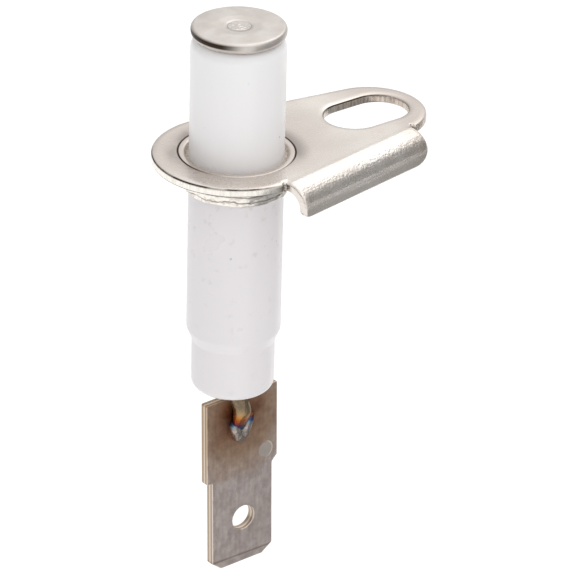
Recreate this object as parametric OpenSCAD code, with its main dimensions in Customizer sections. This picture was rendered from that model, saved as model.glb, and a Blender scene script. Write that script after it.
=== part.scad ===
// Spark ignition electrode: a disc-headed rod in a ceramic insulator, held by a
// bent sheet-metal bracket and ending in a push-on tab terminal.
// Origin: insulator axis at the bracket's underside. +Z points to the spark disc,
// +X along the bracket's arm to the screw slot.

/* [Insulator] */
// Radius of the ceramic body
insulator_r = 3.9; // [3.7:0.05:4.0]
// Height of the ceramic above the bracket's underside
insulator_top = 11; // [8:0.5:20]
// Depth of the ceramic below the bracket's underside
insulator_depth = 20.7; // [18:0.1:35]
// Rounding of the top edge
top_round = 0.9; // [0.3:0.1:1.5]
// Radius of the reduced lower end
shank_r = 3.45; // [3.0:0.05:3.6]
// Length of the reduced lower end
shank_len = 4.5; // [3:0.1:8]
// Height of the slope between body and reduced end
shank_slope = 1.1; // [0.5:0.1:2]
// Rounding of the bottom edge
bottom_round = 0.8; // [0.3:0.1:1.2]
// Radius of the bore for the rod
bore_r = 0.95; // [0.85:0.05:1.2]

/* [Electrode] */
// Radius of the electrode rod
rod_r = 0.75; // [0.5:0.05:0.8]
// Radius of the spark disc
disc_r = 3.9; // [3:0.05:4.5]
// Thickness of the spark disc
disc_t = 1.0; // [0.8:0.1:1.5]
// Rounding of the disc's rim
disc_round = 0.3; // [0.1:0.05:0.4]
// Radius of the pressed recess in the disc's top
recess_r = 1.6; // [1.2:0.1:2.5]
// Depth of the pressed recess
recess_depth = 0.12; // [0.05:0.01:0.2]
// Length of each cement seal in the bore
seal_len = 4; // [2:0.5:7]

/* [Bracket] */
// Sheet thickness of the bracket
sheet_t = 0.8; // [0.6:0.1:1.2]
// Outer radius of the ring around the insulator
ring_r = 6.97; // [6.5:0.01:8]
// Radius of the rounded end around the slot
end_r = 4.6; // [4.2:0.1:5.5]
// Distance from the insulator's axis to the centre of the rounded end
arm_len = 13.9; // [12:0.1:25]
// Distance from the insulator's axis to the centre of the slot
slot_x = 13.4; // [12:0.1:24]
// Overall length of the screw slot
slot_len = 7.6; // [6:0.1:8]
// Width of the screw slot
slot_w = 4.9; // [4:0.1:5]
// Outer radius of the flange's bend
bend_r = 2.05; // [1.5:0.05:3]
// Drop of the flange below the bracket's top face
flange_drop = 2.6; // [2.2:0.1:6]
// Distance that the flange starts short of the ring's tangent point
flange_lead = 1.35; // [0.5:0.05:2]
// Rounding of the flange's lower corner at the slot end
flange_corner = 1.5; // [0.5:0.1:2]
// Width of the relief notch at each end of the flange
notch_w = 0.4; // [0.2:0.05:0.6]
// Depth of each relief notch behind the bend line
notch_depth = 0.4; // [0.2:0.05:0.8]

/* [Collar] */
// Outer radius of the collar, which is the bracket's hole radius
collar_r = 4.8; // [4.5:0.05:5.2]
// Wall of the collar
collar_wall = 0.6; // [0.3:0.05:0.7]
// Depth of the collar below the bracket's underside
collar_depth = 2.2; // [1:0.1:4]
// Radius of the collar below the bracket
spigot_r = 4.6; // [4.4:0.05:4.7]
// Gap between the collar's top edge and the packing
packing_recess = 0.35; // [0.2:0.05:2]

/* [Terminal] */
// Width of the push-on tab
tab_w = 6.3; // [4.8:0.1:6.3]
// Width of the tab's shoulders
shoulder_w = 7.38; // [6.8:0.01:8]
// Thickness of the tab
tab_t = 0.8; // [0.5:0.1:0.8]
// Full length of the terminal
tab_len = 16.3; // [14:0.1:20]
// Length of the wide upper part
shoulder_len = 7.6; // [6:0.1:9]
// Sideways lean of the terminal as welded, in degrees
tab_lean = -1.3; // [-3:0.1:3]
// Radius of the latch hole
latch_r = 1.1; // [0.7:0.05:1.2]
// Distance from the tip to the latch hole
latch_from_tip = 4.3; // [3:0.1:6]
// Width of the chamfer on each corner of the tip
tip_chamfer_w = 1.0; // [0.4:0.1:1.5]
// Height of the chamfer on each corner and of the lead-in on each face of the tip
tip_chamfer_h = 0.8; // [0.4:0.1:1.5]
// Radius of the half-pierced stop
stop_r = 0.8; // [0.5:0.1:1]
// Height of the half-pierced stop
stop_h = 0.25; // [0.1:0.05:0.4]

/* [Hidden] */
$fn = 96;
eps = 0.01;

bottom = -insulator_depth;
slope_bottom = bottom + shank_len;
recess_floor = insulator_top + disc_t - recess_depth;

// The arm's two straight edges touch the ring and the rounded end
tangent = asin((ring_r - end_r) / arm_len);
edge_len = arm_len * cos(tangent);

// The rod's tail steps sideways onto the front face of the tab, with a bend at each knee
tab_pos = [0.84, -0.30, bottom - 1.1];
tail_x = 0.45;
tail_y = tab_pos[1] - rod_r;
tail_knees = [[0, 0, bottom - 0.35], [tail_x, tail_y, bottom - 1.9]];
knee_swell = 0.05;
tail_end = tab_pos[2] - 3.1;
stop_pos = [2.38, -6.15];
latch_x = 0.1;
shoulder_chamfer = 0.55;
lead_in = 0.2;

// Half profile of a round bar with rounded ends, between two heights
module bar_profile(r, low, high, low_round, high_round) {
    translate([0, low + low_round]) square([r, high - low - low_round - high_round]);
    translate([0, low]) square([r - low_round, high - low - high_round]);
    translate([0, high - high_round - eps]) square([r - high_round, high_round + eps]);
    translate([r - low_round, low + low_round]) circle(low_round);
    translate([r - high_round, high - high_round]) circle(high_round);
}

// Round ring between two radii and two heights
module ring(inner, outer, low, high) {
    rotate_extrude() translate([inner, low]) square([outer - inner, high - low]);
}

module electrode_disc() {
    color("#cdc6c0") difference() {
        rotate_extrude()
            bar_profile(disc_r, insulator_top, insulator_top + disc_t, disc_round, disc_round);
        translate([0, 0, insulator_top - 1]) cylinder(h = disc_t + 2, r = rod_r);
        translate([0, 0, recess_floor]) cylinder(h = 1, r = recess_r);
    }
}

// Low button where the rod's end is welded into the recess
module disc_weld() {
    color("#b9b3ae") translate([0, 0, recess_floor]) cylinder(h = 0.1, r1 = 0.95, r2 = 0.8);
}

// Straight stretch of rod between two points
module rod_stretch(from, to) {
    run = to - from;
    translate(from) rotate([0, acos(run[2] / norm(run)), atan2(run[1], run[0])])
        cylinder(h = norm(run), r = rod_r);
}

module electrode_rod() {
    top = [0, 0, recess_floor];
    color("#8f8a84") {
        rod_stretch(tail_knees[0], top);
        rod_stretch(tail_knees[0], tail_knees[1]);
        rod_stretch([tail_x, tail_y, tail_end], tail_knees[1]);
        for (knee = tail_knees) translate(knee) sphere(rod_r + knee_swell);
    }
}

module insulator() {
    color("#f0eeee") difference() {
        rotate_extrude() {
            bar_profile(insulator_r, slope_bottom + shank_slope, insulator_top, eps, top_round);
            bar_profile(shank_r, bottom, slope_bottom + eps, bottom_round, eps);
            polygon([[0, slope_bottom], [shank_r, slope_bottom],
                     [insulator_r, slope_bottom + shank_slope], [0, slope_bottom + shank_slope]]);
        }
        translate([0, 0, bottom - 1]) cylinder(h = insulator_top - bottom + 2, r = bore_r);
    }
}

module upper_seal() {
    color("#d9d2c4") ring(rod_r, bore_r, insulator_top - seal_len, insulator_top);
}

module lower_seal() {
    color("#d9d2c4") ring(rod_r, bore_r, bottom, bottom + seal_len);
}

// Flat outline of the ring, the arm and the rounded end
module plate_outline() {
    hull() {
        circle(ring_r);
        translate([arm_len, 0]) circle(end_r);
    }
}

// Places its children at the flange's bend line, local X along the line
module at_bend_line() {
    rotate([0, 0, tangent]) translate([0, -ring_r, 0]) children();
}

// Section of the flange across the bend: a flat root, a quarter ring and a short leg
module flange_section() {
    centre = sheet_t - bend_r;
    intersection() {
        translate([0, centre]) difference() {
            circle(bend_r);
            circle(bend_r - sheet_t);
        }
        translate([-bend_r, centre]) square([bend_r, bend_r]);
    }
    translate([-bend_r, sheet_t - flange_drop]) square([sheet_t, flange_drop - bend_r + eps]);
    translate([-eps, 0]) square([1.5, sheet_t]);
}

// Front view of the flange, with its lower corner rounded at the slot end
module flange_front() {
    low = sheet_t - flange_drop;
    translate([-flange_lead, low]) square([flange_lead + edge_len - flange_corner, flange_drop]);
    translate([-flange_lead, low + flange_corner])
        square([flange_lead + edge_len, flange_drop - flange_corner]);
    translate([edge_len - flange_corner, low + flange_corner]) circle(flange_corner);
}

module flange() {
    intersection() {
        translate([-flange_lead, 0, 0]) rotate([90, 0, 90])
            linear_extrude(flange_lead + edge_len) flange_section();
        translate([0, 2, 0]) rotate([90, 0, 0]) linear_extrude(2 * bend_r + 2) flange_front();
    }
}

// Narrow round-ended cut beside one end of the flange
module relief_notch(x) {
    translate([x, 0, -1]) {
        translate([-notch_w / 2, -1, 0]) cube([notch_w, 1 + notch_depth - notch_w / 2, sheet_t + 2]);
        translate([0, notch_depth - notch_w / 2, 0]) cylinder(h = sheet_t + 2, r = notch_w / 2);
    }
}

module bracket() {
    half = (slot_len - slot_w) / 2;
    color("#cfc6be") difference() {
        union() {
            linear_extrude(sheet_t) plate_outline();
            at_bend_line() flange();
        }
        translate([0, 0, -1]) cylinder(h = sheet_t + 2, r = collar_r);
        translate([slot_x, 0, -1]) {
            for (x = [-half, half]) translate([x, 0, 0]) cylinder(h = sheet_t + 2, r = slot_w / 2);
            translate([-half, -slot_w / 2, 0]) cube([2 * half, slot_w, sheet_t + 2]);
        }
        at_bend_line() {
            relief_notch(-flange_lead - notch_w / 2);
            relief_notch(edge_len + notch_w / 2);
        }
    }
}

// Half profile of the collar: a spigot below the bracket and a wider band in the bracket's hole
module collar_profile() {
    inner = collar_r - collar_wall;
    translate([inner, -collar_depth]) square([spigot_r - inner, collar_depth + sheet_t]);
    translate([inner, 0]) square([collar_wall, sheet_t]);
}

module collar() {
    color("#c9c0b6") rotate_extrude() collar_profile();
}

module collar_packing() {
    color("#6e675f") ring(insulator_r, collar_r - collar_wall, 0.2 - collar_depth, sheet_t - packing_recess);
}

// Outline of the terminal, hanging down from its top edge
module tab_outline() {
    w = tab_w / 2;
    s = shoulder_w / 2;
    polygon([[-s, 0], [s, 0], [s, shoulder_chamfer - shoulder_len], [s - shoulder_chamfer, -shoulder_len],
             [w, -shoulder_len], [w, tip_chamfer_h - tab_len], [w - tip_chamfer_w, -tab_len],
             [tip_chamfer_w - w, -tab_len], [-w, tip_chamfer_h - tab_len], [-w, -shoulder_len],
             [-s, -shoulder_len]]);
}

// Section through the terminal's thickness, with the lead-in on both faces of the tip
module tab_section() {
    polygon([[0, 0], [tab_t, 0], [tab_t, tip_chamfer_h - tab_len], [tab_t - lead_in, -tab_len],
             [lead_in, -tab_len], [0, tip_chamfer_h - tab_len]]);
}

// Places its children at the terminal's top edge, on its front face
module at_tab() {
    translate(tab_pos) rotate([0, tab_lean, 0]) children();
}

module tab_terminal() {
    color("#857d74") at_tab() difference() {
        union() {
            intersection() {
                translate([0, tab_t, 0]) rotate([90, 0, 0]) linear_extrude(tab_t) tab_outline();
                translate([-shoulder_w / 2, 0, 0]) rotate([90, 0, 90])
                    linear_extrude(shoulder_w) tab_section();
            }
            translate([stop_pos[0], tab_t + stop_h, stop_pos[1]]) rotate([90, 0, 0])
                cylinder(h = stop_h + tab_t / 2, r = stop_r);
        }
        translate([stop_pos[0], stop_h, stop_pos[1]]) rotate([90, 0, 0])
            cylinder(h = stop_h + 1, r = stop_r);
        translate([latch_x, tab_t + 1, latch_from_tip - tab_len]) rotate([90, 0, 0])
            cylinder(h = tab_t + 2, r = latch_r);
    }
}

// Nugget of weld metal around the rod's end: two lobes above, one toe below
module tab_weld() {
    face = tab_pos[1];
    lobe_z = tab_pos[2] - 2.5;
    color("#7a6a5c") difference() {
        hull() {
            translate([tail_x - 0.6, face - 0.25, lobe_z - 0.2]) sphere(0.5, $fn = 32);
            translate([tail_x + 1.15, face - 0.25, lobe_z + 0.2]) sphere(0.55, $fn = 32);
            translate([tail_x, tail_y, lobe_z + 0.1]) sphere(rod_r + 0.08, $fn = 32);
            translate([tail_x + 0.2, face, lobe_z - 1.5]) sphere(0.5, $fn = 32);
        }
        translate([tail_x, tail_y, tail_end]) cylinder(h = 10, r = rod_r);
        translate([-5, face, bottom - 10]) cube([10, 10, 10]);
    }
}

electrode_disc();
disc_weld();
electrode_rod();
insulator();
upper_seal();
lower_seal();
bracket();
collar();
collar_packing();
tab_terminal();
tab_weld();
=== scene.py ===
"""Spark ignition electrode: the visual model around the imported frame.

Lengths inside the classes are millimetres in the frame's axes. A finished piece is scaled to metres.
"""

import logging
import math
from collections.abc import Callable
from dataclasses import dataclass, field
from enum import Enum
from functools import partial

import bmesh
import bpy
from mathutils import Matrix, Vector, noise


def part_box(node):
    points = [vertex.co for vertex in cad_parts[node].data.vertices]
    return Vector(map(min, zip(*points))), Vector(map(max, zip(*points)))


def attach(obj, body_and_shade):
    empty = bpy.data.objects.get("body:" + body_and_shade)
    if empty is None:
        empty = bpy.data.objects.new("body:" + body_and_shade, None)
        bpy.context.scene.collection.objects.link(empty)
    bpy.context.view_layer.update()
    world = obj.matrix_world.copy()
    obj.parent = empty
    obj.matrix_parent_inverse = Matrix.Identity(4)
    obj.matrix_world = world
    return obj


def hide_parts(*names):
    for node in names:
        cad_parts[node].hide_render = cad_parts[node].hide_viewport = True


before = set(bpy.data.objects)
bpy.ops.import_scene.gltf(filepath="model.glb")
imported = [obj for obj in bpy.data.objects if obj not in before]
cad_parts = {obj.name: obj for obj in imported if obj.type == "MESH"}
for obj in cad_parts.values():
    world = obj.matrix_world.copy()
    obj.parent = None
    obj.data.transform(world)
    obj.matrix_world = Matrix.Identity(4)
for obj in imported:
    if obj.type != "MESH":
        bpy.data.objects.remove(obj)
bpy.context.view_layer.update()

MM = 0.001
BODY = "root"
Corner = tuple[float, float, float]
Point = tuple[float, float]
Socket = bpy.types.NodeSocket
Value = Socket | float | tuple[float, ...]
Stops = tuple[tuple[float, str], ...]
Add = Callable[..., Socket]
LOG = logging.getLogger("electrode")


class Slot(Enum):
    """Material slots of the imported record."""

    ALUMINA = "alumina"
    BRACKET = "bracket_nickel"
    DISC = "disc_steel"
    ROD = "rod_steel"
    TAB = "tab_steel"
    WELD = "weld_metal"


class Rim(Enum):
    """Face of a punched sheet that a rim edge belongs to."""

    PUNCH_SIDE = 1
    BURR_SIDE = -1


def linear(code: str) -> tuple[float, float, float, float]:
    """Turns an sRGB hex colour into linear values.

    Args:
        code: Colour such as "#C0B0A0".

    Returns:
        Linear red, green and blue, and full opacity.
    """
    parts = [int(code[i:i + 2], 16) / 255 for i in (1, 3, 5)]
    red, green, blue = (p / 12.92 if p <= 0.04045 else ((p + 0.055) / 1.055) ** 2.4 for p in parts)
    return red, green, blue, 1.0


def feed(socket: Socket, value: Value) -> None:
    """Links an input to the output that feeds it, or gives it a constant."""
    if isinstance(value, Socket):
        socket.id_data.links.new(value, socket)
    else:
        socket.default_value = value


def add_node(tree: bpy.types.NodeTree, kind: str, *values: Value, out: str = "", stops: Stops = (),
             **settings: object) -> Socket | None:
    """Adds a shader node with its settings, values and links.

    Args:
        tree: Node tree that gets the node.
        kind: Type of the node, without Blender's "ShaderNode" before it.
        values: Constant or feeding output for each active input, in order.
        out: Name of the output that is wanted, if it isn't the first active one.
        stops: Positions and hex colours of a colour ramp.
        settings: Properties of the node, and inputs by their capitalised names.

    Returns:
        The wanted output, if the node has any.
    """
    node = tree.nodes.new("ShaderNode" + kind)
    named = {key: value for key, value in settings.items() if key[0].isupper()}
    for key in settings.keys() - named.keys():
        setattr(node, key, settings[key])
    for socket, value in zip([socket for socket in node.inputs if socket.enabled], values):
        feed(socket, value)
    for key, value in named.items():
        feed(node.inputs[key], value)
    for index, (position, code) in enumerate(stops):
        ramp = node.color_ramp.elements
        element = ramp[index] if index < len(ramp) else ramp.new(position)
        element.position, element.color = position, linear(code)
    return node.outputs[out] if out else next((socket for socket in node.outputs if socket.enabled), None)


def lay(add: Add, under: Socket, code: str, *masks: Socket) -> Socket:
    """Lays a colour over another where the masks allow it.

    Args:
        add: Adds a node to the material.
        under: Colour below.
        code: Hex colour on top.
        masks: Strengths, which are multiplied.

    Returns:
        The mixed colour.
    """
    amount = masks[0]
    for mask in masks[1:]:
        amount = add("Math", amount, mask, operation="MULTIPLY")
    return add("Mix", amount, under, linear(code), data_type="RGBA")


def box_mm(node: str) -> tuple[Vector, Vector]:
    """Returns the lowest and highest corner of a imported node, in millimetres."""
    low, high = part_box(node)
    return low / MM, high / MM


@dataclass(frozen=True)
class Finish:
    """One surface, from what it is made of and how it was made."""

    name: str
    roughness: float
    metallic: float = 1.0

    def dress(self, add: Add, mm: Socket) -> dict[str, Value]:
        """Adds the finish's colour, roughness and relief.

        Args:
            add: Adds a node to the material.
            mm: Object position in millimetres.

        Returns:
            What the shader's inputs get.
        """
        raise NotImplementedError

    def material(self) -> bpy.types.Material:
        """Makes the material, or finds the one already made."""
        found = bpy.data.materials.get(self.name)
        if found:
            return found
        made = bpy.data.materials.new(self.name)
        made.use_nodes = True
        made.node_tree.nodes.clear()
        add = partial(add_node, made.node_tree)
        mm = add("VectorMath", add("TexCoord", out="Object"), 1 / MM, operation="SCALE")
        shader = add("BsdfPrincipled", Metallic=self.metallic, Roughness=self.roughness)
        for name, value in self.dress(add, mm).items():
            feed(shader.node.inputs[name], value)
        add("OutputMaterial", shader)
        return made


@dataclass(frozen=True)
class GlazedAlumina(Finish):
    """Alumina, slip cast, fired and clear glazed: white with a soft wet gloss and a few kiln specks."""

    name: str = "alumina_fired_and_glazed"
    roughness: float = 0.3
    metallic: float = 0.0

    def dress(self, add: Add, mm: Socket) -> dict[str, Value]:
        """Gives white body with painted shade towards the lower end, grey specks and stains, and the glaze's
        slight waves.
        """
        height = add("SeparateXYZ", mm, out="Z")
        # Painted shade: the body is greyer below the bracket, partly from the thinner glaze there and partly
        # as painted shade where the bracket shades it
        body_and_shade = add("ValToRGB", add("MapRange", height, -21.0, 12.0),
                   stops=((0.0, "#E9E5E6"), (0.55, "#E9E5E7"), (0.68, "#F2F0F0"), (1.0, "#F3F2F2")))
        # Kiln specks about 0.2 mm across, one to a 2.2 mm cell where the cell's point meets the skin
        cells = add("TexVoronoi", mm, Scale=0.45)
        speck = add("MapRange", cells, 0.03, 0.065, 0.4, 0.0, interpolation_type="SMOOTHSTEP")
        # Handling marks about 1 mm across, fainter towards the lower end
        spots = add("MapRange", add("TexNoise", mm, Scale=1.1, Detail=4.0), 0.6, 0.72)
        under = add("MapRange", height, -17.0, -1.0, 0.1, 0.3)
        below = add("Math", height, 0.0, operation="LESS_THAN")
        cloud = add("TexNoise", mm, Scale=0.35, Detail=3.0)
        waves = add("TexNoise", mm, Scale=0.9, Detail=2.0)
        return {"Base Color": lay(add, lay(add, body_and_shade, "#8F8C84", speck), "#B7B3A8", spots, under, below),
                "Roughness": add("MapRange", cloud, 0.0, 1.0, 0.2, 0.42),
                "Normal": add("Bump", Height=waves, Distance=0.00002), "IOR": 1.6}


@dataclass(frozen=True)
class Places:
    """What the layers of a plating share: where a point lies, and how the sheet was worked there."""

    mm: Socket
    flat: Socket
    radius: Socket
    up: Socket
    front: Socket
    out: Socket
    beyond: Socket
    streak: Socket


@dataclass(frozen=True)
class BrightNickel(Finish):
    """Mild steel, pressed and bright nickel plated: warm silver, pebbled where the sheet was stretched."""

    name: str = "nickel_plated_pressed_steel"
    roughness: float = 0.27
    bend_x: float = 0.0
    bend_y: float = -1.0
    bend_start: float = 6.97
    seam_r: float = 4.8
    seam_z: float = 0.55
    notch_shade_at: Corner = (-0.42, -6.9, 0.0)
    streaks: float = 1.0
    edge_shade: float = 1.0

    def dress(self, add: Add, mm: Socket) -> dict[str, Value]:
        """Gives plating colour, gloss and relief."""
        at = self.places(add, mm)
        walls = self.wall_mask(add, at)
        stained = self.stain_hole(add, at, self.colour(add, at, walls))
        fine = add("TexNoise", mm, Scale=1.5, Detail=4.0)
        return {"Base Color": self.shaded_edges(add, at, stained),
                "Roughness": add("MapRange", fine, 0.3, 0.7, self.roughness - 0.03, self.roughness + 0.04),
                "Normal": self.relief(add, at, walls)}

    def places(self, add: Add, mm: Socket) -> Places:
        """Works out what the layers share.

        Args:
            add: Adds a node to the material.
            mm: Object position in millimetres.

        Returns:
            Distances in millimetres from the insulator's axis (radius), towards the front (front) and
            square to the bend line (out), the mask of the flange (beyond), how far the surface faces up
            or down (up, 0 on walls and 1 on flats), and noise drawn out through the sheet (streak).
        """
        out = add("VectorMath", mm, (self.bend_x, self.bend_y, 0.0), operation="DOT_PRODUCT")
        flat = add("VectorMath", mm, (1.0, 1.0, 0.0), operation="MULTIPLY")
        tilt = add("SeparateXYZ", add("NewGeometry", out="Normal"), out="Z")
        drawn = add("VectorMath", mm, (5.0, 5.0, 0.6), operation="MULTIPLY")
        return Places(mm=mm, flat=flat, out=out, radius=add("VectorMath", flat, operation="LENGTH"),
                      up=add("Math", tilt, operation="ABSOLUTE"),
                      front=add("VectorMath", mm, (-0.3, -0.95, 0.0), operation="DOT_PRODUCT"),
                      beyond=add("MapRange", out, self.bend_start + 0.1, self.bend_start + 0.5),
                      streak=add("TexNoise", drawn, Scale=1.0, Detail=3.0))

    def wall_mask(self, add: Add, at: Places) -> Socket:
        """Finds the punched walls, the slot's most of all, and leaves out the bent flange."""
        upright = add("MapRange", at.up, 0.2, 0.5, 1.0, 0.0, interpolation_type="SMOOTHSTEP")
        share = add("MapRange", at.radius, 7.1, 9.0, 0.3 * self.streaks, self.streaks)
        kept = add("Math", share, at.beyond, operation="SUBTRACT", use_clamp=True)
        return add("Math", upright, kept, operation="MULTIPLY")

    def colour(self, add: Add, at: Places, walls: Socket) -> Socket:
        """Mixes cloudy plating with painted shade and painted highlights, and with the punch's brown streaks,
        0.2 mm apart, on the walls.

        Args:
            add: Adds a node to the material.
            at: What the layers share.
            walls: Strength of the streaks.

        Returns:
            The colour.
        """
        plate = add("ValToRGB", add("TexNoise", at.mm, Scale=0.3, Detail=5.0),
                    stops=((0.3, "#E6DDD5"), (0.5, "#EBE4DC"), (0.7, "#F0EAE4")))
        # Painted shade: the plating is greyed at both ends of the arm and towards the back, where less light
        # falls
        painted_shade_ends = add("ValToRGB", add("MapRange", at.radius, 4.0, 18.5),
                   stops=((0.12, "#FFFFFF"), (0.5, "#000000"), (0.62, "#000000"), (0.8, "#FFFFFF")))
        toned = lay(add, plate, "#D9CFC7", painted_shade_ends, add("MapRange", at.front, 1.5, 5.5, 1.0, 0.3))
        # Painted highlight: the upright walls round the ring and its hole are lightened to near white
        upright = add("MapRange", at.up, 0.15, 0.45, 1.0, 0.0)
        toned = lay(add, toned, "#FAF6EF", upright, add("MapRange", at.radius, 7.05, 7.3, 1.0, 0.0))
        # Painted shade: the notch beside the flange is darkened where it lies in shade
        from_notch = add("VectorMath", at.flat, self.notch_shade_at, operation="DISTANCE")
        toned = lay(add, toned, "#54453A", add("MapRange", from_notch, 0.2, 0.7, 0.85, 0.0), upright)
        return lay(add, toned, "#A08F78", add("MapRange", at.streak, 0.35, 0.65, 0.05, 0.75), walls)

    def shaded_edges(self, add: Add, at: Places, plated: Socket) -> Socket:
        """Draws a thin dark line along the rolled rim as painted shade on the back and left sides.

        Args:
            add: Adds a node to the material.
            at: What the layers share.
            plated: Colour before.

        Returns:
            The colour with the line, which the flange doesn't have.
        """
        line = add("ValToRGB", add("MapRange", at.up, 0.3, 0.9),
                   stops=((0.0, "#000000"), (0.3, "#FFFFFF"), (0.65, "#FFFFFF"), (0.95, "#000000")))
        # Painted shade: the line is kept to the back and left sides, away from the light
        left = add("Math", add("SeparateXYZ", at.mm, out="X"), -1.0, operation="MULTIPLY")
        back = add("Math", left, add("SeparateXYZ", at.mm, out="Y"), operation="MAXIMUM")
        side = add("MapRange", back, 0.0, 2.6, 0.0, self.edge_shade, interpolation_type="SMOOTHSTEP")
        patchy = add("MapRange", add("TexNoise", at.mm, Scale=0.7, Detail=4.0), 0.35, 0.55, 0.35, 1.0)
        amount = add("Math", line, side, operation="MULTIPLY")
        torn = add("Math", amount, patchy, operation="MULTIPLY")
        kept = add("Math", torn, at.beyond, operation="SUBTRACT", use_clamp=True)
        return lay(add, plated, "#3A322D", kept)

    def stain_hole(self, add: Add, at: Places, plated: Socket) -> Socket:
        """Darkens the joint between bracket and collar, and smudges the plating around it.

        Args:
            add: Adds a node to the material.
            at: What the layers share.
            plated: Colour of the clean plating.

        Returns:
            The stained colour.
        """
        around = add("MapRange", at.radius, self.seam_r, self.seam_r + 1.5, 1.0, 0.0,
                     interpolation_type="SMOOTHSTEP")
        smoky = add("MapRange", add("TexNoise", at.mm, Scale=0.28, Detail=3.0), 0.38, 0.6, 0.1, 0.8)
        on_ring = add("Math", at.radius, self.seam_r, operation="GREATER_THAN")
        # The joint is burnished shut at the front, and clean there
        shut = add("MapRange", at.front, 2.2, 4.2, 1.0, 0.12)
        grey = lay(add, plated, "#958C88", around, smoky, on_ring, shut)
        off = add("Math", at.radius, self.seam_r, operation="SUBTRACT")
        line = add("MapRange", add("Math", off, operation="ABSOLUTE"), 0.05, 0.12, 1.0, 0.0)
        top = add("Math", add("SeparateXYZ", at.mm, out="Z"), self.seam_z, operation="GREATER_THAN")
        return lay(add, grey, "#5A4536", line, shut, top)

    def relief(self, add: Add, at: Places, walls: Socket) -> Socket:
        """Layers waviness, the pebble 0.2 mm across that stretching raises on the bend, and drawing lines.

        Args:
            add: Adds a node to the material.
            at: What the layers share.
            walls: Strength of the punch's streaks.

        Returns:
            The surface normal.
        """
        stretched = add("ValToRGB", add("MapRange", at.out, self.bend_start - 1.0, self.bend_start + 2.1),
                        stops=((0.0, "#0A0A0A"), (0.22, "#3C3C3C"), (0.42, "#E0E0E0"), (0.8, "#FFFFFF"),
                               (0.97, "#606060")))
        grain = add("TexNoise", at.mm, Scale=4.6, Detail=2.0, Roughness=0.5)
        raised = add("Math", grain, stretched, operation="MULTIPLY")
        calm = add("Math", 1.0, at.beyond, operation="SUBTRACT")
        swell = add("Math", add("TexNoise", at.mm, Scale=0.2, Detail=1.0), calm, operation="MULTIPLY")
        pressed = add("Bump", Height=swell, Distance=0.00012)
        pebble = add("Bump", Height=raised, Distance=0.00006, Normal=pressed)
        # The former dragged fine lines along the flange
        dragged = add("VectorMath", at.mm, (0.12, 1.0, 3.2), operation="MULTIPLY")
        scored = add("Math", add("TexNoise", dragged, Scale=1.0, Detail=3.0), at.beyond, operation="MULTIPLY")
        groove = add("Math", at.streak, walls, scored, operation="MULTIPLY_ADD")
        return add("Bump", Height=groove, Distance=0.00004, Normal=pebble)


@dataclass(frozen=True)
class TornNickel(BrightNickel):
    """Nickel-plated ring, staked over until its edge tore: bright lips with dark cracks between them."""

    name: str = "nickel_plated_torn_ring"
    roughness: float = 0.3
    streaks: float = 0.4
    edge_shade: float = 0.0
    bend_start: float = 100.0
    cracks: tuple[Point, ...] = ((-1.2, 0.25), (-1.75, 0.5))

    def dress(self, add: Add, mm: Socket) -> dict[str, Value]:
        """Adds dark cracks that wander along the skirt, and brown pits, to the plating."""
        looks = super().dress(add, mm)
        colour = looks["Base Color"]
        height = add("SeparateXYZ", mm, out="Z")
        wander = add("TexNoise", mm, Scale=0.55, Detail=5.0, Roughness=0.65)
        for level, sway in self.cracks:
            moved = add("Math", wander, 2 * sway, height, operation="MULTIPLY_ADD")
            off = add("Math", moved, level + sway, operation="SUBTRACT")
            near = add("Math", off, operation="ABSOLUTE")
            colour = lay(add, colour, "#6B5C50", add("MapRange", near, 0.02, 0.09, 0.8, 0.0))
        low = add("MapRange", height, -0.9, -1.6)
        deep = add("MapRange", add("TexNoise", mm, Scale=2.6, Detail=3.0), 0.5, 0.66, 0.0, 0.4)
        return {**looks, "Base Color": lay(add, colour, "#8E8072", low, deep)}


@dataclass(frozen=True)
class SatinSteel(Finish):
    """Heat-resisting steel, blanked and tumbled: an even satin grey with fine pits, and a dark brown band
    painted on the rim's left side as a dark reflection.
    """

    name: str = "satin_tumbled_steel"
    roughness: float = 0.4
    band_low: float = 11.36
    band_high: float = 11.8

    def dress(self, add: Add, mm: Socket) -> dict[str, Value]:
        """Gives tumbled colour, the rim's painted dark reflection, gloss and pits."""
        cloud = add("TexNoise", mm, Scale=0.8, Detail=5.0)
        tone = add("ValToRGB", cloud, stops=((0.3, "#D3CCC5"), (0.5, "#DAD3CD"), (0.7, "#E1DBD6")))
        level = add("MapRange", add("SeparateXYZ", mm, out="Z"), self.band_low - 0.25, self.band_high + 0.25)
        band = add("ValToRGB", level, stops=((0.0, "#000000"), (0.3, "#808080"), (0.42, "#FFFFFF"),
                                             (0.72, "#FFFFFF"), (0.86, "#000000")))
        flat = add("VectorMath", mm, (1.0, 1.0, 0.0), operation="MULTIPLY")
        outer = add("MapRange", add("VectorMath", flat, operation="LENGTH"), 3.5, 3.72)
        # Painted reflection: the rim's band is dark brown on the left, as if it mirrored a dark surrounding
        # there, and fades out round the other side
        side = add("VectorMath", mm, (-1.0, 0.1, 0.0), operation="DOT_PRODUCT")
        painted_dark_side = add("MapRange", side, 1.4, 3.2, 0.06, 1.0, interpolation_type="SMOOTHSTEP")
        pits = add("TexNoise", mm, Scale=5.0, Detail=3.0)
        return {"Base Color": lay(add, tone, "#3A2E26", band, outer, painted_dark_side),
                "Roughness": add("MapRange", cloud, 0.0, 1.0, self.roughness - 0.08, self.roughness + 0.1),
                "Normal": add("Bump", Height=pits, Distance=0.000012)}


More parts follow.
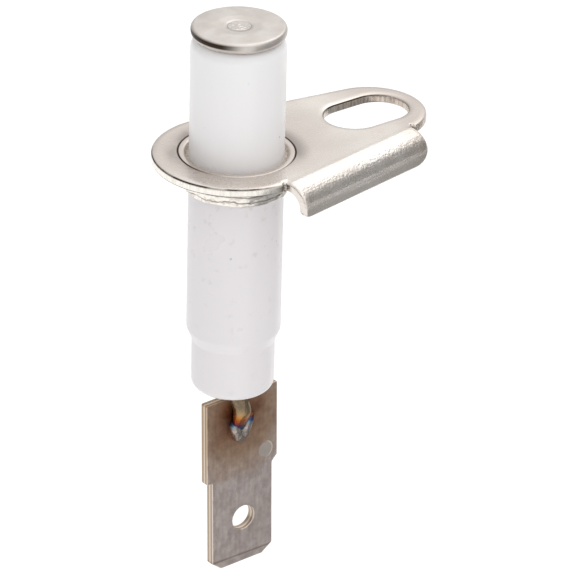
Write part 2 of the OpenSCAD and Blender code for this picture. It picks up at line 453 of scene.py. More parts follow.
@dataclass(frozen=True)
class RolledStrip(Finish):
    """Steel strip, cold rolled and left bare: dull grey-brown, grained lengthwise, tinted by weld heat."""

    name: str = "cold_rolled_steel_strip"
    roughness: float = 0.42
    heat_at: Corner = (0.5, -0.3, -23.9)
    stop_at: Corner = (3.36, -0.1, -27.89)
    stop_r: float = 0.76
    tip_line: float = -37.35

    def dress(self, add: Add, mm: Socket) -> dict[str, Value]:
        """Gives strip colour, heat tint, sheared walls, lengthwise grain and mottling."""
        along = add("VectorMath", mm, (4.0, 4.0, 0.5), operation="MULTIPLY")
        mottle = add("TexNoise", mm, Scale=1.4, Detail=6.0, Roughness=0.65)
        mixed = add("Mix", 0.72, add("TexNoise", along, Scale=1.0, Detail=5.0), mottle)
        strip = add("ValToRGB", mixed, stops=((0.36, "#CBBCB6"), (0.5, "#DACCC7"), (0.64, "#E8DED9")))
        return {"Base Color": self.bare_metal(add, mm, self.heat_tint(add, mm, strip)),
                "Roughness": add("MapRange", mixed, 0.35, 0.65, self.roughness - 0.06, self.roughness + 0.1),
                "Normal": add("Bump", Height=mixed, Distance=0.00002)}

    def heat_tint(self, add: Add, mm: Socket, strip: Socket) -> Socket:
        """Browns the strip around the weld, thickest beside the nugget and gone after 6 mm.

        Args:
            add: Adds a node to the material.
            mm: Object position in millimetres.
            strip: Colour of the cold strip.

        Returns:
            The tinted colour.
        """
        far = add("VectorMath", mm, self.heat_at, operation="DISTANCE")
        ragged = add("Math", add("TexNoise", mm, Scale=0.6, Detail=4.0), 2.5, far, operation="MULTIPLY_ADD")
        tint = add("ValToRGB", add("MapRange", ragged, 2.4, 7.6),
                   stops=((0.0, "#8E6C52"), (0.12, "#B8957A"), (0.4, "#D8C1A9"), (0.8, "#F0E6DA"),
                          (1.0, "#FFFFFF")))
        return add("Mix", 1.0, strip, tint, data_type="RGBA", blend_type="MULTIPLY")

    def bare_metal(self, add: Add, mm: Socket, heated: Socket) -> Socket:
        """Brightens the sheared walls and the stop, and paints shade along the line where the tip's taper
        begins.

        Args:
            add: Adds a node to the material.
            mm: Object position in millimetres.
            heated: Colour of the strip's faces.

        Returns:
            The colour.
        """
        tilt = add("SeparateXYZ", add("NewGeometry", out="Normal"), out="Y")
        wall = add("MapRange", add("Math", tilt, operation="ABSOLUTE"), 0.35, 0.8, 0.8, 0.0)
        shear = add("ValToRGB", add("MapRange", add("SeparateXYZ", mm, out="Y"), -0.3, 0.5),
                    stops=((0.05, "#E0D0B9"), (0.16, "#8A755E"), (0.3, "#9C8A74"), (0.42, "#E3D6C2"),
                           (0.5, "#DCCDB8"), (0.62, "#A4927B"), (0.9, "#A8957D")))
        sheared = add("Mix", wall, heated, shear, data_type="RGBA")
        off = add("VectorMath", mm, self.stop_at, operation="DISTANCE")
        floor = lay(add, sheared, "#DCD3CC", add("MapRange", off, self.stop_r - 0.12, self.stop_r, 0.8, 0.0))
        # The right half of the stop's lip catches the light
        lip = add("ValToRGB", add("MapRange", off, self.stop_r - 0.1, self.stop_r + 0.35),
                  stops=((0.0, "#000000"), (0.25, "#FFFFFF"), (0.34, "#FFFFFF"), (0.5, "#000000")))
        middle = self.stop_at[0]
        right = add("MapRange", add("SeparateXYZ", mm, out="X"), middle, middle + 0.5, 0.0, 0.9)
        lipped = lay(add, floor, "#FFF6EA", lip, right)
        # Painted shade: a grey line along the top edge of the tip's taper
        tip = add("MapRange", add("SeparateXYZ", mm, out="Z"), self.tip_line - 0.6, self.tip_line + 0.2)
        taper_shade = add("ValToRGB", tip, stops=((0.0, "#FFFFFF"), (0.66, "#FFFFFF"), (0.75, "#CBC4BE"),
                                             (0.82, "#D6D0CB"), (1.0, "#FFFFFF")))
        return add("Mix", 1.0, lipped, taper_shade, data_type="RGBA", blend_type="MULTIPLY")


@dataclass(frozen=True)
class HeatColours(Finish):
    """Steel melted by the welding arc: straw, orange, purple and blue oxide bands on a grey frozen pool."""

    name: str = "steel_with_weld_heat_colours"
    roughness: float = 0.3
    high: float = -23.7
    low: float = -25.5
    wander: float = 1.2
    bands: Stops = ((0.0, "#8A5632"), (0.12, "#5E3A42"), (0.24, "#46587F"), (0.34, "#7F98A8"),
                    (0.44, "#9B8F86"), (0.6, "#B0A8A2"), (1.0, "#8A7F78"))

    def dress(self, add: Add, mm: Socket) -> dict[str, Value]:
        """Gives oxide bands that wander by half a millimetre, and the pool's ripples."""
        wander = add("TexNoise", mm, Scale=1.3, Detail=4.0, Roughness=0.6)
        moved = add("Math", wander, self.wander, add("SeparateXYZ", mm, out="Z"), operation="MULTIPLY_ADD")
        half = self.wander / 2
        ripples = add("TexNoise", mm, Scale=3.5, Detail=2.0)
        return {"Base Color": add("ValToRGB", add("MapRange", moved, self.high + half, self.low + half),
                                  stops=self.bands),
                "Roughness": add("MapRange", wander, 0.0, 1.0, 0.15, 0.45),
                "Normal": add("Bump", Height=ripples, Distance=0.00006)}


@dataclass(frozen=True)
class FiredCement(Finish):
    """Silicate cement, packed wet and fired: matt, sandy and off-white."""

    name: str = "fired_silicate_cement"
    roughness: float = 0.9
    metallic: float = 0.0
    light: str = "#B9B0A2"
    dark: str = "#857B6C"

    def dress(self, add: Add, mm: Socket) -> dict[str, Value]:
        """Gives sandy colour and grains 0.25 mm across."""
        sand = add("TexNoise", mm, Scale=4.0, Detail=5.0)
        return {"Base Color": add("ValToRGB", sand, stops=((0.3, self.dark), (0.7, self.light))),
                "Normal": add("Bump", Height=sand, Distance=0.00005)}


def rounded(corners: list[Corner], steps: int = 6) -> list[Point]:
    """Rounds the corners of a closed outline.

    Args:
        corners: Each corner's two coordinates and its radius, in order.
        steps: Segments in each arc.

    Returns:
        The outline's points.
    """
    points: list[Point] = []
    for index, (x, y, radius) in enumerate(corners):
        here = Vector((x, y))
        if radius <= 0:
            points.append((x, y))
            continue
        back = (Vector(corners[index - 1][:2]) - here).normalized()
        ahead = (Vector(corners[(index + 1) % len(corners)][:2]) - here).normalized()
        half = back.angle(ahead) / 2
        centre = here + (back + ahead).normalized() * (radius / math.sin(half))
        start = here + back * (radius / math.tan(half)) - centre
        end = here + ahead * (radius / math.tan(half)) - centre
        turn = start.angle_signed(end)
        for step in range(steps + 1):
            angle = -turn * step / steps
            spoke = Matrix.Rotation(angle, 2) @ start
            points.append(tuple(centre + spoke))
    return points


def arc(centre: Point, radius: float, start: float, end: float, steps: int) -> list[Point]:
    """Returns points on an arc, with its angles in degrees, both ends included."""
    angles = [math.radians(start + (end - start) * step / steps) for step in range(steps + 1)]
    return [(centre[0] + radius * math.cos(a), centre[1] + radius * math.sin(a)) for a in angles]


def turned(profile: list[Point], closed: bool = True, steps: int = 128) -> bmesh.types.BMesh:
    """Spins a half profile about the insulator's axis.

    Args:
        profile: Radius and height of each point.
        closed: Whether the last point joins the first; if not, both lie on the axis.
        steps: Segments in the full turn.

    Returns:
        A closed mesh with its normals outwards.
    """
    bm = bmesh.new()
    verts = [bm.verts.new((r, 0.0, z)) for r, z in profile]
    edges = [bm.edges.new(pair) for pair in zip(verts, verts[1:])]
    if closed:
        edges.append(bm.edges.new((verts[-1], verts[0])))
    bmesh.ops.spin(bm, geom=verts + edges, cent=(0, 0, 0), axis=(0, 0, 1), angle=math.tau, steps=steps,
                   use_merge=True)
    bmesh.ops.remove_doubles(bm, verts=bm.verts, dist=1e-4)
    bmesh.ops.recalc_face_normals(bm, faces=bm.faces)
    return bm


def put(bm: bmesh.types.BMesh, name: str) -> bpy.types.Object:
    """Puts a mesh in metres into the scene as an object, and uses it up."""
    mesh = bpy.data.meshes.new(name)
    bm.to_mesh(mesh)
    bm.free()
    made = bpy.data.objects.new(name, mesh)
    bpy.context.scene.collection.objects.link(made)
    return made


def finished(bm: bmesh.types.BMesh, name: str, finish: Finish, nodes: list[str],
             soft_edges: bool = True) -> bpy.types.Object:
    """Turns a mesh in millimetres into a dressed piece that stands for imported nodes.

    Args:
        bm: Mesh in millimetres, used up here.
        name: Name of the piece.
        finish: Its surface.
        nodes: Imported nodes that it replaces.
        soft_edges: Whether flat faces keep their shading beside rounded edges.

    Returns:
        The new object.
    """
    bmesh.ops.scale(bm, vec=(MM, MM, MM), verts=bm.verts)
    piece = put(bm, name)
    mesh = piece.data
    mesh.polygons.foreach_set("use_smooth", [True] * len(mesh.polygons))
    mesh.materials.append(finish.material())
    if soft_edges:
        piece.modifiers.new("flat_faces_lead", "WEIGHTED_NORMAL").weight = 80
    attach(piece, BODY)
    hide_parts(*nodes)
    LOG.info("%s: %d faces, %s", name, len(mesh.polygons), finish.name)
    return piece


def pierced(bm: bmesh.types.BMesh, outline: list[Point], far: int, holes: list[list[Point]]) -> None:
    """Makes two flat faces around a row of holes, split along the line through the holes.

    Args:
        bm: Mesh that gets the faces, at height 0.
        outline: Points of the outline, anticlockwise from the near end of the row.
        far: Index of the outline's point at the far end of the row.
        holes: Points of each hole, anticlockwise from its near end, an even number of them.
    """
    rim = [bm.verts.new((x, y, 0.0)) for x, y in outline]
    rings = [[bm.verts.new((x, y, 0.0)) for x, y in hole] for hole in holes]
    first = rim[:far + 1]
    for ring in reversed(rings):
        first += reversed(ring[:len(ring) // 2 + 1])
    second = rim[far:] + [rim[0]]
    for ring in rings:
        second += [ring[0]] + list(reversed(ring[len(ring) // 2:]))
    bm.faces.new(first)
    bm.faces.new(second)


def push(bm: bmesh.types.BMesh, faces: list[bmesh.types.BMFace], height: float) -> None:
    """Extrudes faces upwards."""
    new = bmesh.ops.extrude_face_region(bm, geom=faces)["geom"]
    bmesh.ops.translate(bm, vec=(0, 0, height), verts=[g for g in new if isinstance(g, bmesh.types.BMVert)])


def thicken(bm: bmesh.types.BMesh, thickness: float) -> None:
    """Makes the flat faces of a mesh into a sheet, upwards."""
    push(bm, bm.faces[:], thickness)
    bmesh.ops.recalc_face_normals(bm, faces=bm.faces)


def slice_at(bm: bmesh.types.BMesh, at: Vector | Corner, normal: Vector | Corner,
             clear: bool = False) -> None:
    """Cuts edges where a plane crosses a mesh, and drops what lies beyond it if that is wanted."""
    bmesh.ops.bisect_plane(bm, geom=bm.verts[:] + bm.edges[:] + bm.faces[:], dist=1e-5, plane_co=at,
                           plane_no=normal, clear_outer=clear)


def rim_edges(bm: bmesh.types.BMesh, side: Rim, inner: float = -1.0,
              outer: float = math.inf) -> list[bmesh.types.BMEdge]:
    """Finds the edges between one flat face of a sheet and its walls.

    Args:
        bm: The sheet, with its faces up and down.
        side: Which face's rim is wanted.
        inner: Edges nearer to the insulator's axis are left out.
        outer: Edges further from it are left out.

    Returns:
        The edges.
    """
    found = []
    for edge in bm.edges:
        if len(edge.link_faces) != 2:
            continue
        ups = sorted(face.normal.z * side.value for face in edge.link_faces)
        middle = (edge.verts[0].co + edge.verts[1].co).xy / 2
        if abs(ups[0]) < 0.3 and ups[1] > 0.8 and inner <= middle.length < outer:
            found.append(edge)
    return found


def ease(bm: bmesh.types.BMesh, edges: list[bmesh.types.BMEdge], width: float, segments: int) -> None:
    """Rounds edges of a sheet, or chamfers them with one segment."""
    bmesh.ops.bevel(bm, geom=edges, offset=width, offset_type="OFFSET", segments=segments, profile=0.5,
                    affect="EDGES", material=-1, clamp_overlap=False)


@dataclass
class SparkHead:
    """Spark disc with its pressed recess and the weld button in it."""

    rim_round: float = 0.3
    under_round: float = 0.6
    recess_r: float = 1.6
    recess_depth: float = 0.05
    rod_r: float = 0.75
    button_rings: int = 24
    ridge_h: float = 0.09
    finish: SatinSteel = field(default_factory=SatinSteel)

    def build(self) -> None:
        """Makes the disc and the button."""
        low, high = box_mm("electrode_disc")
        radius, floor = high.x, high.z - self.recess_depth
        profile = rounded([
            (self.rod_r, low.z, 0), (radius, low.z, self.under_round), (radius, high.z, self.rim_round),
            (self.recess_r + 0.3, high.z, 0.4), (self.recess_r - 0.25, floor, 0.4),
            (self.rod_r, floor, 0)], steps=8)
        finished(turned(profile), "spark_disc", self.finish, ["electrode_disc"])
        self.build_button(floor)

    def build_button(self, floor: float) -> None:
        """Makes the lumpy weld button on the recess floor.

        Args:
            floor: Height of the recess floor.
        """
        low, high = box_mm("disc_weld")
        radius, top, rings = high.x, high.z - 0.001, self.button_rings
        profile = [(0.0, floor), (radius, floor)]
        profile += [(radius * (1 - step / rings), floor + 0.004) for step in range(rings + 1)]
        bm = turned(profile, closed=False, steps=96)
        for vert in bm.verts:
            if vert.co.z > floor + 1e-4:
                ridge = 1 - abs(noise.noise(Vector((vert.co.x * 1.5 + 2.2, vert.co.y * 2.3, 3.7)))) * 7
                fade = 1 - (vert.co.xy.length / radius) ** 4
                vert.co.z = min(top, vert.co.z + max(0.0, ridge) * fade * self.ridge_h)
        finished(bm, "disc_weld_button", SatinSteel(name="bright_frozen_weld_ridges", roughness=0.27),
                 ["disc_weld"], soft_edges=False)


@dataclass
class Insulator:
    """Ceramic tube with a reduced lower end, and the cement that fixes the rod in its bore."""

    bore_r: float = 0.95
    top_round: float = 0.9
    shank_r: float = 3.45
    shank_len: float = 4.5
    slope: float = 1.1
    bottom_round: float = 0.8

    def build(self) -> None:
        """Makes the ceramic and dresses the two packed seals."""
        low, high = box_mm("insulator")
        step = low.z + self.shank_len
        profile = rounded([
            (self.bore_r, low.z, 0.15), (self.shank_r, low.z, self.bottom_round), (self.shank_r, step, 0.5),
            (high.x, step + self.slope, 0.6), (high.x, high.z, self.top_round),
            (self.bore_r, high.z, 0.1)], steps=8)
        finished(turned(profile, steps=160), "ceramic_insulator", GlazedAlumina(), ["insulator"])
        for node in ("upper_seal", "lower_seal"):
            dress_node(node, FiredCement())


def dress_node(node: str, finish: Finish) -> None:
    """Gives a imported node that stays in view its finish."""
    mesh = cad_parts[node].data
    mesh.materials.clear()
    mesh.materials.append(finish.material())
    LOG.info("%s: packed shape kept, %s", node, finish.name)


@dataclass
class Rod:
    """Electrode rod, stepped forwards below the insulator onto the tab's face, its end melted."""

    radius: float = 0.75
    knees: tuple[Corner, ...] = ((0.0, 0.0, -21.05), (0.34, -1.03, -22.6))
    knee_reach: float = 0.55
    tab_face: float = -0.3
    flat_from: float = -22.9
    flat_share: float = 0.5
    melt_len: float = 0.9
    sink_len: float = 1.6
    knee_steps: int = 8
    tip_steps: int = 10

    def centre_line(self) -> list[Vector]:
        """Works out the rod's centre line, with both knees rounded.

        Returns:
            Points from the top end down to the tip.
        """
        low, high = box_mm("electrode_rod")
        ends = [Vector((0, 0, high.z)), *(Vector(k) for k in self.knees), Vector((*self.knees[1][:2], low.z))]
        line = [ends[0], Vector((0, 0, -20.0))]
        for before, knee, after in zip(ends, ends[1:], ends[2:]):
            back, ahead = (before - knee).normalized(), (after - knee).normalized()
            start, end = knee + back * self.knee_reach, knee + ahead * self.knee_reach
            for step in range(self.knee_steps + 1):
                t = step / self.knee_steps
                line.append(start * (1 - t) ** 2 + knee * 2 * t * (1 - t) + end * t ** 2)
        tip_start = ends[-1] + Vector((0, 0, self.melt_len))
        line += [tip_start + (ends[-1] - tip_start) * (step / self.tip_steps)
                 for step in range(self.tip_steps + 1)]
        return line

    def build(self) -> None:
        """Makes the rod as one circle extruded along its centre line."""
        line = self.centre_line()
        bm = bmesh.new()
        ring = bmesh.ops.create_circle(bm, cap_ends=True, segments=40, radius=self.radius,
                                       matrix=Matrix.Translation(line[0]))["verts"]
        edges = list({edge for vert in ring for edge in vert.link_edges})
        tilt = Vector((0, 0, 1))
        for index in range(1, len(line)):
            here = line[index]
            aim = (line[index - 1] - line[min(index + 1, len(line) - 1)]).normalized()
            new = bmesh.ops.extrude_edge_only(bm, edges=edges)["geom"]
            ring = [g for g in new if isinstance(g, bmesh.types.BMVert)]
            edges = [g for g in new if isinstance(g, bmesh.types.BMEdge)]
            swing = tilt.rotation_difference(aim).to_matrix().to_4x4()
            drop = Matrix.Translation(here) @ swing @ Matrix.Translation(-line[index - 1])
            bmesh.ops.transform(bm, matrix=drop, verts=ring)
            tilt = aim
            melt = 1 - (here.z - line[-1].z) / self.melt_len
            if melt > 0:
                shrunk = max(0.15, math.sqrt(max(0.0, 1 - melt ** 1.6)))
                scale = shrunk * self.radius / (ring[0].co - here).length
                bmesh.ops.scale(bm, vec=(scale, scale, 1), space=Matrix.Translation(-here), verts=ring)
        for vert in bm.verts:
            sunk = min(1.0, max(0.0, (self.flat_from - vert.co.z) / self.sink_len))
            vert.co.y = self.tab_face + (vert.co.y - self.tab_face) * (1 - sunk * (1 - self.flat_share))
            lump = noise.noise(vert.co * 1.7) * 0.09 + noise.noise(vert.co * 4.5) * 0.03
            vert.co += Vector((lump, lump, 0)) * sunk
        bmesh.ops.contextual_create(bm, geom=edges)
        bmesh.ops.recalc_face_normals(bm, faces=bm.faces)
        bands = ((0.0, "#857560"), (0.28, "#A88C66"), (0.45, "#B87B3C"), (0.6, "#A1562B"), (0.78, "#6E3236"),
                 (0.9, "#4A3A5C"), (1.0, "#46608F"))
        finished(bm, "electrode_rod_wire",
                 HeatColours(name="drawn_rod_with_heat_colours", high=-22.4, low=-24.6, wander=1.0,
                             bands=bands),
                 ["electrode_rod"])


@dataclass
class Bracket:
    """Ring, arm, slotted end and turned-down flange, pressed from one sheet."""

    hole_r: float = 4.8
    end_r: float = 4.6
    arm_len: float = 13.9
    slot_x: float = 13.4
    slot_len: float = 7.6
    slot_w: float = 4.9
    bend_r: float = 2.05
    flange_lead: float = 1.35
    flange_corner: float = 1.5
    notch_w: float = 0.4
    notch_depth: float = 0.4
    trim: float = 0.01
    roll_w: float = 0.6
    roll_drop: float = 0.07
    rolled_edge: float = 0.22
    burr_edge: float = 0.12
    bend_cuts: int = 20

    def __post_init__(self) -> None:
        """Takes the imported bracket's sizes and works out the bend line."""
        low, high = box_mm("bracket")
        self.ring_r = -low.x
        self.sheet = high.z
        self.leg = self.sheet - self.bend_r - low.z
        self.tangent = math.asin((self.ring_r - self.end_r) / self.arm_len)
        self.edge_len = self.arm_len * math.cos(self.tangent)
        self.neutral_r = self.bend_r - self.sheet / 2
        self.bend_len = self.neutral_r * math.pi / 2

    def outline(self) -> tuple[list[Point], int]:
        """Works out the flat blank, with the bend line along the lower edge, turned to the frame's axes.

        Returns:
            The outline anticlockwise from the ring's far side, and the index of its point at the slot's end.
        """
        lean = math.degrees(self.tangent)
        left, right = -self.flange_lead, self.edge_len
        end_centre = (self.edge_len, self.end_r - self.ring_r)
        tip = -self.ring_r - self.bend_len - self.leg
        ring_stop = 270 + math.degrees(math.asin(left / self.ring_r))
        blank = arc((0, 0), self.ring_r, 180 - lean, ring_stop, 44)
        blank += rounded([(left, -self.ring_r, 0), (left, tip, 0.65), (right, tip, self.flange_corner),
                          (right, -self.ring_r, 0)])[1:-1]
        blank += arc(end_centre, self.end_r, -90, -lean, 36)
        far = len(blank) - 1
        blank += arc(end_centre, self.end_r, -lean, 90 - 2 * lean, 36)[1:]
        blank += arc((0, 0), self.ring_r, 90 - 2 * lean, 180 - lean, 36)[:-1]
        turn = Matrix.Rotation(self.tangent, 2)
        return [tuple(turn @ Vector(point)) for point in blank], far

    def bend(self, bm: bmesh.types.BMesh) -> None:
        """Rolls the flap beyond the bend line down over the former.

        Args:
            bm: The flat sheet, its underside at height 0.
        """
        out = Vector((math.sin(self.tangent), -math.cos(self.tangent), 0))
        for cut in range(self.bend_cuts + 1):
            along = self.ring_r + 0.001 + self.bend_len * cut / self.bend_cuts
            slice_at(bm, out * along, out)
        centre = self.sheet - self.bend_r
        for vert in bm.verts:
            beyond = vert.co.dot(out) - self.ring_r
            if beyond <= 0:
                continue
            radius = self.bend_r - self.sheet + vert.co.z
            angle = min(beyond / self.neutral_r, math.pi / 2)
            straight = max(0.0, beyond - self.bend_len)
            vert.co += out * (radius * math.sin(angle) - beyond)
            vert.co.z = centre + radius * math.cos(angle) - straight

    def build(self, finish: BrightNickel) -> None:
        """Makes the bracket from its flat blank.

        Args:
            finish: The plating.
        """
        outline, far = self.outline()
        hole = arc((0, 0), self.hole_r, 180, 540, 96)[:-1]
        half = (self.slot_len - self.slot_w) / 2
        slot = arc((self.slot_x + half, 0), self.slot_w / 2, -90, 90, 32)
        slot += arc((self.slot_x - half, 0), self.slot_w / 2, 90, 270, 32)
        near = len(slot) * 3 // 4 - 1
        slot = slot[near:] + slot[:near]
        if len(slot) % 2:
            slot = slot[:-1]
        bm = bmesh.new()
        pierced(bm, outline, far, [hole, slot])
        thicken(bm, self.sheet)
        hole_edge = self.hole_r + 0.1
        ease(bm, rim_edges(bm, Rim.PUNCH_SIDE, outer=hole_edge), 0.1, 2)
        ease(bm, rim_edges(bm, Rim.BURR_SIDE, outer=hole_edge), 0.06, 2)
        ease(bm, rim_edges(bm, Rim.PUNCH_SIDE, inner=hole_edge), self.roll_w, 1)
        for vert in bm.verts:
            if abs(vert.co.z - (self.sheet - self.roll_w)) < 1e-3:
                vert.co.z = self.sheet - self.roll_drop
        bm.normal_update()
        ease(bm, rim_edges(bm, Rim.PUNCH_SIDE, inner=hole_edge), self.rolled_edge, 4)
        ease(bm, rim_edges(bm, Rim.BURR_SIDE, inner=hole_edge), self.burr_edge, 2)
        self.bend(bm)
        piece = finished(bm, "bracket_pressing", finish, ["bracket"])
        self.cut_notches(piece)

    def cut_notches(self, piece: bpy.types.Object) -> None:
        """Cuts the round-ended relief notch beside each end of the flange.

        Args:
            piece: The bracket, whose mesh is replaced by the cut one.
        """
        radius = self.notch_w / 2
        bm = bmesh.new()
        for along in (-self.flange_lead - radius + self.trim, self.edge_len + radius - self.trim):
            floor = Vector((along, self.notch_depth - radius - self.ring_r))
            ring = [bm.verts.new((x, y, -4.0)) for x, y in arc(floor, radius, 0, 180, 10)
                    + [(floor.x - radius, -self.ring_r - 3), (floor.x + radius, -self.ring_r - 3)]]
            push(bm, [bm.faces.new(ring)], 6)
        bmesh.ops.recalc_face_normals(bm, faces=bm.faces)
        turn = Matrix.Rotation(self.tangent, 4, "Z")
        bmesh.ops.transform(bm, matrix=Matrix.Scale(MM, 4) @ turn, verts=bm.verts)
        punch = put(bm, "notch_punches")
        cut = piece.modifiers.new("notches", "BOOLEAN")
        cut.object, cut.operation, cut.solver = punch, "DIFFERENCE", "EXACT"
        piece.modifiers["flat_faces_lead"].show_viewport = False
        shape = piece.evaluated_get(bpy.context.evaluated_depsgraph_get())
        piece.data = bpy.data.meshes.new_from_object(shape)
        piece.modifiers.remove(cut)
        piece.modifiers["flat_faces_lead"].show_viewport = True
        bpy.data.objects.remove(punch)
        LOG.info("bracket_pressing: notches cut, %d faces", len(piece.data.polygons))


@dataclass
class Collar:
    """Ring pressed into the bracket's hole, its spigot torn below, and the packing inside it."""

    wall: float = 0.6
    spigot_r: float = 4.6
    tear: float = 0.08
    rows: int = 16
    skirt_top: float = -0.3
    lips: tuple[tuple[float, float, float, float], ...] = ((-1.3, 0.22, 1.7, 0.09), (-1.8, 0.25, 2.9, 0.1))

    def build(self, finish: TornNickel) -> None:
        """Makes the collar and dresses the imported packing.

        Args:
            finish: The plating.
        """
        low, high = box_mm("collar")
        inner, outer = high.x - self.wall, high.x
        skirt = [(self.spigot_r, low.z + 0.12 + (-0.12 - low.z) * row / self.rows)
                 for row in range(self.rows)]
        foot = rounded([(inner, low.z, 0), (self.spigot_r, low.z, 0.1), (self.spigot_r, 0, 0)], 3)[:-1]
        head = rounded([(self.spigot_r, 0, 0), (outer, 0, 0.04), (outer, high.z, 0.1), (inner, high.z, 0.22),
                        (inner, low.z, 0)], 4)[:-1]
        bm = turned(foot + skirt[1:] + head, steps=192)
        for vert in bm.verts:
            self.tear_skirt(vert, low.z, inner)
        finished(bm, "pressed_collar", finish, ["collar"])
        dress_node("collar_packing", FiredCement(name="pale_fired_packing", light="#D9D1C6", dark="#A89C8E"))

    def tear_skirt(self, vert: bmesh.types.BMVert, bottom: float, inner: float) -> None:
        """Moves one point of the skirt to where the tear left it.

        A lip has its height, how far it wanders, how finely, and how far the metal below it stands back.

        Args:
            vert: The point.
            bottom: Height of the skirt's lower edge before it tore.
            inner: Radius of the collar's bore.
        """
        if vert.co.z > self.skirt_top:
            return
        around = vert.co.xy.normalized()
        where = Vector((around.x * 2.4, around.y * 2.4, 1.3))
        ragged = noise.noise(where) + 0.6 * noise.noise(where * 3.3) + 0.4 * noise.noise(where * 8.1)
        if vert.co.xy.length > inner + 0.2:
            bite = sum(back for level, sway, grain, back in self.lips
                       if vert.co.z < level + sway * noise.noise(where * grain))
            dent = 0.05 * noise.noise(Vector((vert.co.x * 1.6, vert.co.y * 1.6, vert.co.z * 2.0)))
            vert.co.xy -= around * min(0.3, max(0.0, bite + dent))
        vert.co.z += max(0.0, 1 - (vert.co.z - bottom) / 0.8) * self.tear * max(0.0, ragged + 0.4)


@dataclass
class Terminal:
    """Push-on tab with shoulders, latch hole and half-pierced stop, and the weld that joins the rod to it."""

    origin: Corner = (0.84, -0.30, -21.8)
    lean: float = -1.3
    width: float = 6.3
    shoulder_w: float = 7.38
    thickness: float = 0.8
    length: float = 16.3
    shoulder_len: float = 7.6
    shoulder_chamfer: float = 0.55
    latch_r: float = 1.1
    latch_u: float = 0.1
    latch_from_tip: float = 4.3
    tip_w: float = 1.0
    tip_h: float = 0.8
    lead_in: float = 0.1
    stop_r: float = 0.8
    stop_h: float = 0.25
    stop_at: Point = (2.38, -6.15)
    stop_steps: int = 40
    corner_steps: int = 4
    latch_steps: int = 48
    punched_edge: float = 0.1

    def outline(self) -> tuple[list[Point], int]:
        """Works out the tab's outline from the middle of its tip.

        Returns:
            The outline anticlockwise, and the index of the point on the top edge.
        """
        half, wide, small = self.width / 2, self.shoulder_w / 2, 0.12
        right = [(half - self.tip_w, -self.length, small), (half, self.tip_h - self.length, small),
                 (half, -self.shoulder_len, small),
                 (wide, self.shoulder_chamfer - self.shoulder_len, small), (wide, 0, small)]
        left = [(-wide, 0, small), (-wide, -self.shoulder_len, small), (-half, -self.shoulder_len, 0.1),
                (-half, self.tip_h - self.length, small), (self.tip_w - half, -self.length, small)]
        points = rounded([(self.latch_u, -self.length, 0), *right, (self.stop_at[0], 0, 0), *left],
                         self.corner_steps)
        return points, 1 + (self.corner_steps + 1) * len(right)

    def build(self) -> None:
        """Makes the tab and its weld."""
        outline, far = self.outline()
        latch_v = self.latch_from_tip - self.length
        latch = arc((self.latch_u, latch_v), self.latch_r, -90, 270, self.latch_steps)[:-1]
        stop = arc(self.stop_at, self.stop_r, -90, 270, self.stop_steps)[:-1]
        bm = bmesh.new()
        pierced(bm, outline, far, [latch, stop])
        middle = Vector(self.stop_at)
        ring = [vert for vert in bm.verts if abs((vert.co.xy - middle).length - self.stop_r) < 1e-4]
        ring.sort(key=lambda vert: math.atan2(vert.co.y - middle.y, vert.co.x - middle.x))
        bm.faces.new(ring)
        thicken(bm, self.thickness)
        self.half_pierce(bm)
        for vert in bm.verts:
            vert.co.z = self.thickness - vert.co.z
        bmesh.ops.reverse_faces(bm, faces=bm.faces)
        bmesh.ops.recalc_face_normals(bm, faces=bm.faces)
        ease(bm, rim_edges(bm, Rim.PUNCH_SIDE) + rim_edges(bm, Rim.BURR_SIDE), self.punched_edge, 3)
        self.taper_tip(bm)
        stand = Matrix(((1, 0, 0, 0), (0, 0, -1, self.thickness), (0, 1, 0, 0), (0, 0, 0, 1)))
        place = Matrix.Translation(self.origin) @ Matrix.Rotation(math.radians(self.lean), 4, "Y") @ stand
        bmesh.ops.transform(bm, matrix=place, verts=bm.verts)
        bmesh.ops.recalc_face_normals(bm, faces=bm.faces)
        finished(bm, "push_on_tab", RolledStrip(), ["tab_terminal"])
        self.build_weld()

    def half_pierce(self, bm: bmesh.types.BMesh) -> None:
        """Pushes the stop's disc part of the way through the sheet."""
        for disc in [f for f in bm.faces if abs(f.normal.z) > 0.9 and len(f.verts) == self.stop_steps]:
            push(bm, [disc], self.stop_h)

    def taper_tip(self, bm: bmesh.types.BMesh) -> None:
        """Thins the tip on both faces, so that it finds its receptacle."""
        level = self.tip_h - self.length
        slice_at(bm, (0, level, 0), (0, 1, 0))
        for vert in bm.verts:
            if vert.co.y < level:
                share = (level - vert.co.y) / self.tip_h
                half = self.thickness / 2
                vert.co.z = half + (vert.co.z - half) * (1 - share * self.lead_in / half)

    def build_weld(self) -> None:
        """Makes the frozen weld pool around the rod's end, on the tab's face."""
        face = self.origin[1]
        lobes = [((-0.12, face - 0.2, -24.45), (0.3, face - 0.2, -25.5), 0.44),
                 ((1.5, face - 0.2, -24.0), (0.95, face - 0.2, -25.4), 0.44),
                 ((0.6, face - 0.1, -25.6), (0.6, face - 0.1, -25.75), 0.46)]
        heart = Vector((0.6, face - 0.25, -25.35))
        bm = bmesh.new()
        bmesh.ops.create_icosphere(bm, subdivisions=6, radius=1.0)
        for vert in bm.verts:
            ray = vert.co.normalized()
            inner, outer = 0.0, 4.0
            for _ in range(24):
                middle = (inner + outer) / 2
                inside = self.in_pool(heart + ray * middle, lobes)
                inner, outer = (middle, outer) if inside else (inner, middle)
            bumps = noise.noise(ray * 2.3 + Vector((4.1, 0, 0))) * 0.07 + noise.noise(ray * 6.0) * 0.03
            vert.co = heart + ray * (inner + bumps)
        slice_at(bm, (0, face + 0.02, 0), (0, 1, 0), clear=True)
        bmesh.ops.holes_fill(bm, edges=[edge for edge in bm.edges if edge.is_boundary])
        bmesh.ops.recalc_face_normals(bm, faces=bm.faces)
        finished(bm, "weld_nugget", HeatColours(), ["tab_weld"], soft_edges=False)

